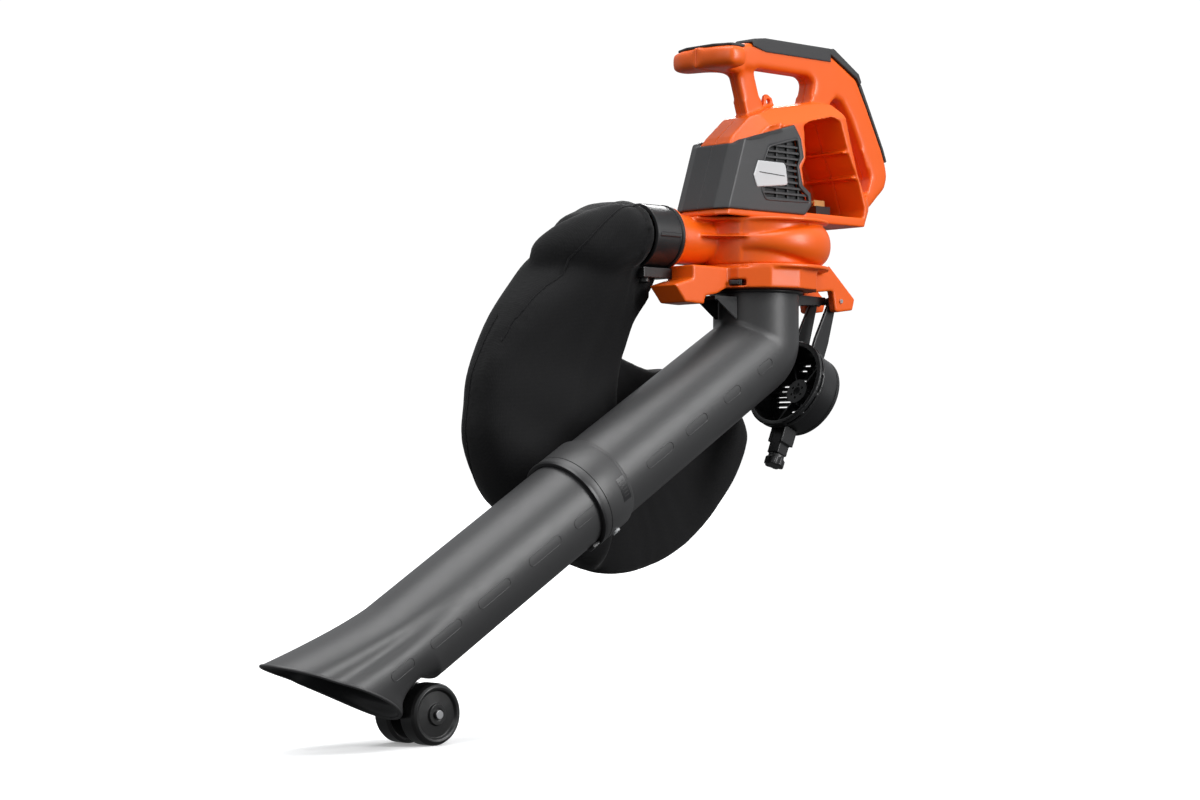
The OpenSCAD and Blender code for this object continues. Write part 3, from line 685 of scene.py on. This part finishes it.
# suction tube
tube = {"radius": 0.060, "wall": 0.003, "grow": 0.002, "bend": 0.020, "tightest": 0.012, "top": 0.608,
        "upperEnd": 0.364, "turns": 144}
half = (math.pi / 2 - site["slope"]) / 2


def elbowTube(name, radius, grow, zTop, sEnd):
    # every column is a line down, an arc and a line along the tube; the arc's radius grows
    # with the column's distance from the inside of the bend
    t = np.linspace(0, 2 * math.pi, tube["turns"], endpoint=False)
    d, y = radius * np.cos(t), radius * np.sin(t)
    r = np.sqrt((tube["bend"] + d) ** 2 * (d > -tube["bend"]) + tube["tightest"] ** 2)
    ex, ez = np.array([math.cos(half), -math.sin(half)])
    cx = (d - r) / math.cos(half) * ex
    cz = site["cornerZ"] + (d - r) / math.cos(half) * ez
    down = np.linspace(0, 1, 10)[:, None]
    x1, z1 = cx + r, zTop + (cz - zTop) * down
    turn = np.linspace(0, 2 * half, 22)[1:, None]
    x2, z2 = cx + r * np.cos(turn), cz - r * np.sin(turn)
    c, k = math.cos(site["slope"]), math.sin(site["slope"])
    along = np.linspace(0, 1, 60)[1:, None]
    sStart = -(x2[-1]) * c - (z2[-1] - site["cornerZ"]) * k
    s = sStart + (sEnd - sStart) * along
    wide = 1 + grow / radius * s / sEnd
    n = -d * wide
    x3 = -s * c - n * k
    z3 = site["cornerZ"] - s * k + n * c
    y3 = y * wide
    x = np.concatenate([x1 + 0 * down, x2, x3])
    z = np.concatenate([z1, z2, z3])
    yy = np.concatenate([y + 0 * down, y + 0 * turn, y3])
    return place(x, yy, z)


def tubeShell(name, outer, inner):
    # outer skin, rim, inner skin back to the start
    return gridPiece(name, np.concatenate([outer, inner[::-1]]), closeU=True)


upper = tubeShell("upperTubeLook",
                  elbowTube("o", tube["radius"], tube["grow"], tube["top"], tube["upperEnd"]),
                  elbowTube("i", tube["radius"] - tube["wall"], tube["grow"], tube["top"], tube["upperEnd"]))
dress(upper, "grey", node="upper_tube")


def tubeRing(name, profile, turns=144):
    # profile of (distance down the tube, radius), turned round the tube's axis and closed on itself
    p = np.asarray(profile, float)
    t = np.linspace(0, 2 * math.pi, turns, endpoint=False)
    grid = onTube(p[:, :1] + 0 * t, p[:, 1:] * np.cos(t), p[:, 1:] * np.sin(t))
    return gridPiece(name, grid, closeU=True, creaseAngle=30)


band = tubeRing("couplerBand", [(0.3595, 0.0618), (0.3600, 0.0640), (0.3615, 0.0646), (0.3640, 0.0646),
                                (0.3643, 0.0640),
                                (0.3652, 0.0640), (0.3655, 0.0662), (0.3670, 0.0668), (0.4080, 0.0668),
                                (0.4086, 0.0660),
                                (0.4096, 0.0660), (0.4102, 0.0668), (0.4198, 0.0668), (0.4212, 0.0660),
                                (0.4214, 0.0630),
                                (0.4150, 0.0622), (0.3760, 0.0619)])
dress(band, "grey")
flange = lathe("tubeFlange", [(0.0598, 0), (0.0655, 0.0004), (0.0660, 0.001), (0.0660, 0.0038),
                              (0.0655, 0.0044), (0.0598, 0.0046)],
               place(0, 0, 0.588), (0, 0, 1), (1, 0, 0))
dress(flange, "black")
# a black ring where the lower tube leaves the coupler: partly the rim that stands out there, partly painted
# shadow of the gap round the tube
dress(tubeRing("couplerRimAndGapShade", [(0.4190, 0.0625), (0.4190, 0.0664), (0.4196, 0.0673), (0.4236, 0.0673),
                                 (0.4242, 0.0664), (0.4242, 0.0620)]),
      "black")


def coil(name, s0, s1, a0, a1, low, high, rows=24):
    # a curved pad on the tube: a box in distance, angle and radius, with its angle finely cut
    a = np.linspace(a0, a1, rows)[:, None]
    s = np.array([s0, s1, s1, s0])[None]
    r = np.array([low, low, high, high])[None]
    return gridPiece(name, onTube(s + 0 * a, r * np.sin(a), -r * np.cos(a)), creaseAngle=30)


# lock window in the coupler: a dark panel with bars across it
lock = {"window": (0.3670, 0.3815, -0.27, 0.23, 0.0660, 0.0671), "bars": (-0.17, 0.13, 5), "halfBar": 0.007}
dress(coil("lockWindow", *lock["window"]), "black")
for k, a in enumerate(np.linspace(*lock["bars"])):
    dress(coil(f"lockBar{k}", 0.3700, 0.3785, a - lock["halfBar"], a + lock["halfBar"], 0.0666, 0.0677, 4),
          "grey")

# two hooks with pin eyes behind the elbow, and a braced shelf in front of it
for k, (y0, y1) in enumerate([(-0.011, -0.008), (0.008, 0.011)]):
    dress(slabPiece(f"tubeHook{k}", [(0.058, 0.566), (0.058, 0.5875), (0.066, 0.5915), (0.134, 0.590),
                                     (0.134, 0.579), (0.082, 0.577)], y0, y1), "black")
    eye = lathe(f"tubeEye{k}", [(0.0033, 0), (0.0056, 0), (0.006, 0.0004), (0.006, 0.0036), (0.0056, 0.004),
                                (0.0033, 0.004)],
                place(0.140, y0 - 0.0005, 0.584), (0, 1, 0), (1, 0, 0), 32)
    dress(eye, "black")
for k, (y0, y1) in enumerate([(-0.020, -0.017), (0.017, 0.020)]):
    dress(slabPiece(f"tubeGusset{k}", [(-0.101, 0.5785), (-0.058, 0.5785), (-0.058, 0.552), (-0.062, 0.552)],
                    y0, y1), "black")
dress(slabPiece("tubeShelf", [(-0.103, 0.577), (-0.103, 0.582), (-0.058, 0.582), (-0.058, 0.577)], -0.020,
                0.020), "black")

scoop = {"start": 0.3755, "end": 0.8642, "skew": 0.78, "radius": 0.061, "axleS": 0.7706, "axleN": -0.0886,
         "pocket": 0.0441, "rows": 150}


def scoopSection(inset):
    # half width and height of the tube along its length; the rows lean over until the last lies in
    # the mouth's plane, and the underside follows a circle over the wheels
    s0 = scoop["start"] + (scoop["end"] - scoop["start"]) * np.linspace(0, 1, scoop["rows"])[:, None] ** 0.85
    t = np.linspace(0, 2 * math.pi, tube["turns"], endpoint=False)[None]
    lean = scoop["skew"] * np.clip((s0 - 0.640) / (scoop["end"] - 0.640), 0, 1) ** 1.5
    arch = 0.010 * np.clip((s0 - 0.700) / (scoop["end"] - 0.700), 0, 1) ** 3

    def top(s):
        return scoop["radius"] + 0.031 * (np.clip(s - 0.755, 0, None) / 0.181) ** 1.35

    def keel(s):
        wheel = np.sqrt(np.clip(scoop["pocket"] ** 2 - (s - scoop["axleS"]) ** 2, 0, None))
        under = np.minimum(scoop["radius"], -scoop["axleN"] - wheel)
        return np.where(s < 0.802, under, under + (0.072 - under) * smooth((s - 0.802) / 0.006))

    up = scoop["radius"]
    for _ in range(4):
        up = top(s0 + lean * up)
    under = scoop["radius"]
    for _ in range(6):
        under = 0.5 * under + 0.5 * keel(s0 - lean * under)
    sine = np.sin(t)
    flank = smooth((s0 - 0.66) / 0.16)
    pinch = 1 - 0.10 * flank * np.exp(-((np.abs(sine) - 0.42) / 0.16) ** 2) * (sine > 0)
    n = np.where(sine >= 0, (up - inset) * sine, (under - inset) * sine) * np.where(sine > 0, pinch ** 0.5, 1)
    y = (scoop["radius"] - inset) * np.cos(t) * (1 + 0 * s0) * pinch
    s = s0 + lean * n - arch * np.cos(t) ** 2
    return onTube(s, n, y)


lower = tubeShell("lowerTubeLook", scoopSection(0), scoopSection(tube["wall"]))
dress(lower, "grey", node="lower_tube")
dress(ridge("scoopRim", scoopSection(0.0012)[-1], 0.0021, sides=10), "grey")


def tubeMark(name, s, length, width, radius, turn=0.0):
    # the outline of a long round-ended pad on the tube's near flank
    t = np.linspace(0, 2 * math.pi, 64, endpoint=False)
    u = np.cos(t) * width / 2 + np.sign(np.cos(t)) * (length - width) / 2
    v = np.sin(t) * width / 2
    a = turn + v / radius
    return ridge(name, onTube(s + u, radius * np.sin(a), -radius * np.cos(a)), padLook["bead"], sides=6)


padLook = {"width": 0.013, "bead": 0.0005}
# (upper end, length) of each pad down the tube
padRow = [(0.037, 0.032), (0.111, 0.036), (0.187, 0.046), (0.263, 0.056), (0.412, 0.058), (0.499, 0.062),
          (0.600, 0.060),
          (0.694, 0.056), (0.782, 0.040)]
for k, (end, length) in enumerate(padRow):
    # the upper tube widens by 2 mm down its length
    radius = 0.0602 + 0.002 * end / 0.364 if end < 0.36 else 0.0610
    for turn, name in ((0.0, "Near"), (math.pi, "Far")):
        dress(tubeMark(f"tubePad{name}{k}", end + length / 2, length, padLook["width"], radius, turn), "grey")
print("stage: tube made")

# bag
bagLook = {"centre": (-0.230, 0.400), "mid": 0.128, "half": 0.058, "voxel": 0.005, "easing": 20, "frames": 10,
           "cap": 0.004,
           "wave": 0.0020, "seam": 0.0013}
bagEdge = [(-0.162, 0.622), (-0.161, 0.590), (-0.171, 0.568), (-0.177, 0.542), (-0.172, 0.512),
           (-0.131, 0.497), (-0.089, 0.488),
           (-0.038, 0.490), (0.034, 0.474), (0.091, 0.440), (0.114, 0.405), (0.113, 0.385), (0.104, 0.362),
           (0.085, 0.330), (0.056, 0.297),
           (0.022, 0.264), (-0.028, 0.231), (-0.091, 0.208), (-0.155, 0.200), (-0.210, 0.211),
           (-0.258, 0.225),
           (-0.308, 0.252), (-0.344, 0.281), (-0.372, 0.302), (-0.388, 0.322), (-0.401, 0.345),
           (-0.410, 0.375), (-0.416, 0.406),
           (-0.415, 0.435), (-0.411, 0.466), (-0.403, 0.494), (-0.389, 0.524), (-0.371, 0.556),
           (-0.346, 0.587),
           (-0.312, 0.619), (-0.277, 0.652), (-0.250, 0.680), (-0.226, 0.699), (-0.190, 0.717),
           (-0.155, 0.716), (-0.134, 0.700),
           (-0.140, 0.670)]


def bagSection(edge, v):
    # the middle outline shrinks towards the centre as |sin v|^0.42 while the depth runs as |cos v|^0.62
    out = np.abs(np.sin(v)) ** 0.42
    over = -np.sign(np.cos(v)) * np.abs(np.cos(v)) ** 0.62
    c = np.array(bagLook["centre"])
    xz = c + (edge - c) * out
    return xz[..., 0], bagLook["mid"] + bagLook["half"] * over[..., 0], xz[..., 1]


def bagBody():
    edge = spline(bagEdge, 260, closed=True)[None]
    v = np.linspace(0, math.pi, 90)[1:-1, None, None]
    x, y, z = bagSection(edge, v)
    # the lower lobe's near panel sits further back, behind a fold that runs down from the upper lobe
    fold = np.interp(z, [0.437, 0.480, 0.516, 0.542, 0.568, 0.589],
                     [-0.205, -0.201, -0.195, -0.193, -0.186, -0.176])
    behind = smooth((x - fold) / 0.016) * smooth((0.585 - z) / 0.05)
    behind = behind * np.clip((bagLook["mid"] - y) / bagLook["half"], 0, 1)
    y = y + 0.034 * behind
    # and the top leans out to meet the sleeve
    y = y - 0.052 * smooth((z - 0.47) / 0.17) * np.clip((bagLook["mid"] - y) / bagLook["half"], 0, 1)
    return gridPiece("bagShape", place(x, y, z))


def bagNeck():
    # the sleeve leaves the collar as a circle and leans outwards into the bag
    path = spline([(-0.2045, 0.030, 0.661), (-0.226, 0.039, 0.658), (-0.247, 0.063, 0.650),
                   (-0.262, 0.097, 0.636), (-0.266, 0.130, 0.622)], 24)
    r = np.interp(np.linspace(0, 1, 24), [0, 0.25, 0.5, 0.75, 1], [0.0430, 0.0455, 0.050, 0.050, 0.044])
    t = np.linspace(0, 2 * math.pi, 64, endpoint=False)
    ahead = np.gradient(path, axis=0)
    ahead /= np.linalg.norm(ahead, axis=1, keepdims=True)
    ahead[0] = (-1, 0, 0)
    side = np.cross([0, 0, 1.0], ahead)
    side /= np.linalg.norm(side, axis=1, keepdims=True)
    up = np.cross(ahead, side)
    circle = np.cos(t)[None, :, None] * side[:, None] + np.sin(t)[None, :, None] * up[:, None]
    p = path[:, None] + r[:, None, None] * circle
    return gridPiece("neckShape", place(p[..., 0], p[..., 1], p[..., 2]))


def seamPath(share, depth):
    # a line round the bag: share is the place along the outline, depth the matching over value
    u = np.linspace(0, 1, 420, endpoint=False)
    edge = spline(bagEdge, 420, closed=True)
    over = np.interp(u, share, depth)
    v = np.arccos(-np.sign(over) * np.abs(over) ** (1 / 0.62))[:, None]
    return place(*bagSection(edge, v))


bagPiece, neckPiece = bagBody(), bagNeck()
bpy.ops.object.select_all(action="DESELECT")
for o in (bagPiece, neckPiece):
    o.select_set(True)
bpy.context.view_layer.objects.active = bagPiece
bpy.ops.object.join()
bagPiece.name = "bagCloth"
m = bagPiece.modifiers.new("weld", "REMESH")
m.mode = "VOXEL"
m.voxel_size = bagLook["voxel"]
bpy.ops.object.modifier_apply(modifier="weld")
m = bagPiece.modifiers.new("ease", "SMOOTH")
m.iterations = bagLook["easing"]
bpy.ops.object.modifier_apply(modifier="ease")
cloth = {"quality": 5, "mass": 0.2, "stretch": 20, "bend": 0.3, "pressure": 2.0, "gravity": 0.5,
         "grow": -0.04}
# the sleeve's end is held, the bag sags a little, and no point moves further than the cap
start = pointsOf(bagPiece.data)
pins = bagPiece.vertex_groups.new(name="pins")
heldEnd = ((start[:, 0] > -0.2055 - site["gripX"] - 0.012) & (start[:, 2] > 0.6 - site["gripZ"])
           & (start[:, 1] < 0.085))
pins.add(np.where(heldEnd)[0].tolist(), 1.0, "REPLACE")
sim = bagPiece.modifiers.new("cloth", "CLOTH")
cs = sim.settings
cs.quality = cloth["quality"]
cs.mass = cloth["mass"]
cs.tension_stiffness = cs.compression_stiffness = cloth["stretch"]
cs.bending_stiffness = cloth["bend"]
cs.use_pressure = True
cs.uniform_pressure_force = cloth["pressure"]
cs.vertex_group_mass = "pins"
cs.effector_weights.gravity = cloth["gravity"]
cs.shrink_min = cloth["grow"]
for n in range(1, bagLook["frames"] + 1):
    bpy.context.scene.frame_set(n)
moved = bagPiece.evaluated_get(bpy.context.evaluated_depsgraph_get()).to_mesh()
shift = pointsOf(moved) - start
size = np.linalg.norm(shift, axis=1, keepdims=True)
shift *= np.minimum(1, bagLook["cap"] / np.maximum(size, 1e-9))
bagPiece.modifiers.remove(sim)
movePoints(bagPiece.data, start + shift)
bpy.context.scene.frame_set(1)
print("bag moved at most", float(size.max()), "mean", float(size.mean()))
shadeSmooth(bagPiece.data)


def drawn(piece, path):
    # each point of the path moved to the nearest place on the piece
    tree = BVHTree.FromPolygons(pointsOf(piece.data).tolist(),
                                [tuple(f.vertices) for f in piece.data.polygons])
    return np.array([tree.find_nearest(Vector(q))[0] for q in path])


lowSeam = seamPath([0, 0.40, 0.50, 0.56, 0.62, 0.70, 0.76, 0.80],
                   [0.1, 0.35, 0.60, 0.60, 0.30, 0.24, 0.05, -0.20])
topSeam = spline([(-0.408, 0.095, 0.525), (-0.397, 0.088, 0.555), (-0.381, 0.080, 0.571),
                  (-0.356, 0.070, 0.598), (-0.324, 0.050, 0.623),
                  (-0.295, 0.036, 0.649), (-0.267, 0.028, 0.675), (-0.243, 0.022, 0.695),
                  (-0.227, 0.018, 0.704), (-0.207, 0.018, 0.703)], 120)
upTo = int(len(lowSeam) * 0.765)
nearSeam = drawn(bagPiece, np.concatenate([lowSeam[:upTo], place(*topSeam.T)]))
farSeam = drawn(bagPiece, seamPath([0, 1], [0.86, 0.86]))
skin, normals = pointsOf(bagPiece.data), pointsOf(bagPiece.data, "normal")
pinch = np.zeros(len(skin))
for path in (nearSeam, farSeam):
    # the cloth draws in along a seam, and puckers at uneven steps beside it
    away = np.sqrt(((skin[:, None, :] - path[None, ::3, :]) ** 2).sum(-1))
    run, d = away.argmin(1) / 140, away.min(1)
    pucker = 0.5 + 0.5 * np.sin(run * 61 + 3 * np.sin(run * 17)) * np.sin(run * 23 + 1)
    pinch += 0.0016 * np.exp(-(d / 0.006) ** 2) + 0.0018 * pucker * np.exp(-((d - 0.012) / 0.010) ** 2)
x, y, z = skin.T
slack = (np.sin(31 * x + 17 * z + 2 * np.sin(23 * z)) + 0.8 * np.sin(47 * x - 29 * z + 3 * np.sin(19 * x))
         + 0.7 * np.sin(22 * z + 9 * y)) * bagLook["wave"]
held = smooth((-0.2045 - site["gripX"] - x - 0.004) / 0.03)
movePoints(bagPiece.data, skin + normals * ((slack - pinch) * held)[:, None])
dress(bagPiece, "bag", node="bag")
for name, path in (("bagSeamNear", nearSeam), ("bagSeamFar", farSeam)):
    dress(ridge(name, drawn(bagPiece, path), bagLook["seam"], sides=8), "bag")
uvLayer = bagPiece.data.uv_layers.new(name="cut")
loops = np.zeros(len(bagPiece.data.loops), int)
bagPiece.data.loops.foreach_get("vertex_index", loops)
uvLayer.data.foreach_set("uv", pointsOf(bagPiece.data)[loops][:, [0, 2]].ravel())
print("stage: bag made")

# stage, light and camera
studio = {"camera": (-2.871, -2.643, -0.596), "lens": 82.5, "heading": 43.5, "shift": 0.0667,
          "airLow": 0.10, "airHigh": 0.62, "floorGlow": 0.22, "floorStrength": 1.1,
          "floorReach": 60, "glowFrom": 1.3, "glowTo": 3.0, "veil": 1.05}


def paleFloor():
    f = Finish("paleFloor")
    # the glow rises with distance, so the shadow shows beside the machine and the far floor stays white
    away = f.node("ShaderNodeVectorMath", {"operation": "LENGTH"}, {0: f.here()}, out=1)
    glow = f.node("ShaderNodeMapRange", {"interpolation_type": "SMOOTHSTEP"},
                  {"Value": away, "From Min": studio["glowFrom"], "From Max": studio["glowTo"],
                   "To Min": studio["floorGlow"], "To Max": 1.0})
    f.set(color=(0.90, 0.90, 0.90), rough=0.9, glow=glow)
    f.surface.inputs["Emission Strength"].default_value = studio["floorStrength"]
    u = np.linspace(-studio["floorReach"], studio["floorReach"], 41)
    gx, gy = np.meshgrid(u, u, indexing="ij")
    piece = gridPiece("floorSheet", np.stack([gx, gy, np.full_like(gx, floorZ)], -1), closeV=False)
    piece.data.materials.append(f.mat)
    piece.visible_diffuse = piece.visible_glossy = False


paleFloor()
world = bpy.data.worlds.new("studioAir")
world.use_nodes = True
sky = world.node_tree
air, veil = sky.nodes["Background"], sky.nodes.new("ShaderNodeBackground")
air.inputs[0].default_value = (0.96, 0.98, 1.0, 1)
where, split, rise = (sky.nodes.new("ShaderNode" + kind) for kind in ("TexCoord", "SeparateXYZ", "MapRange"))
for key, value in (("From Min", -0.35), ("From Max", 0.6), ("To Min", studio["airLow"]),
                   ("To Max", studio["airHigh"])):
    rise.inputs[key].default_value = value
sky.links.new(where.outputs["Generated"], split.inputs[0])
sky.links.new(split.outputs["Z"], rise.inputs["Value"])
sky.links.new(rise.outputs[0], air.inputs[1])
veil.inputs[1].default_value = studio["veil"]
blendAir, ray = sky.nodes.new("ShaderNodeMixShader"), sky.nodes.new("ShaderNodeLightPath")
for start, end in ((ray.outputs["Is Camera Ray"], blendAir.inputs[0]), (air.outputs[0], blendAir.inputs[1]),
                   (veil.outputs[0], blendAir.inputs[2]),
                   (blendAir.outputs[0], sky.nodes["World Output"].inputs[0])):
    sky.links.new(start, end)
veil.inputs[0].default_value = (1, 1, 1, 1)
bpy.context.scene.world = world
mid = (cadLow + cadHigh) / 2


def softbox(name, where, size, power):
    lamp = bpy.data.lights.new(name, "AREA")
    lamp.shape = "RECTANGLE"
    lamp.size, lamp.size_y = size
    lamp.energy = power
    o = bpy.data.objects.new(name, lamp)
    bpy.context.scene.collection.objects.link(o)
    o.location = where
    o.rotation_mode = "QUATERNION"
    o.rotation_quaternion = (mid - Vector(where)).to_track_quat("-Z", "Y")


# name, place, size in metres and power in watts
softbox("topLight", (-0.6, -0.2, 2.6), (2.4, 2.4), 85)
softbox("sideLight", (0.9, -3.0, 0.7), (1.2, 2.0), 95)
softbox("frontLight", (-3.0, -0.8, 0.9), (1.4, 1.4), 14)
softbox("backLight", (2.2, 2.0, 1.2), (1.2, 1.2), 40)
cam = bpy.data.cameras.new("camera")
cam.lens = studio["lens"]
cam.sensor_width = 36
cam.shift_y = studio["shift"]
camObject = bpy.data.objects.new("camera", cam)
bpy.context.scene.collection.objects.link(camObject)
camObject.location = studio["camera"]
camObject.rotation_euler = (math.radians(90), 0, math.radians(-studio["heading"]))
bpy.context.scene.camera = camObject
bpy.context.scene.view_settings.view_transform = "Standard"
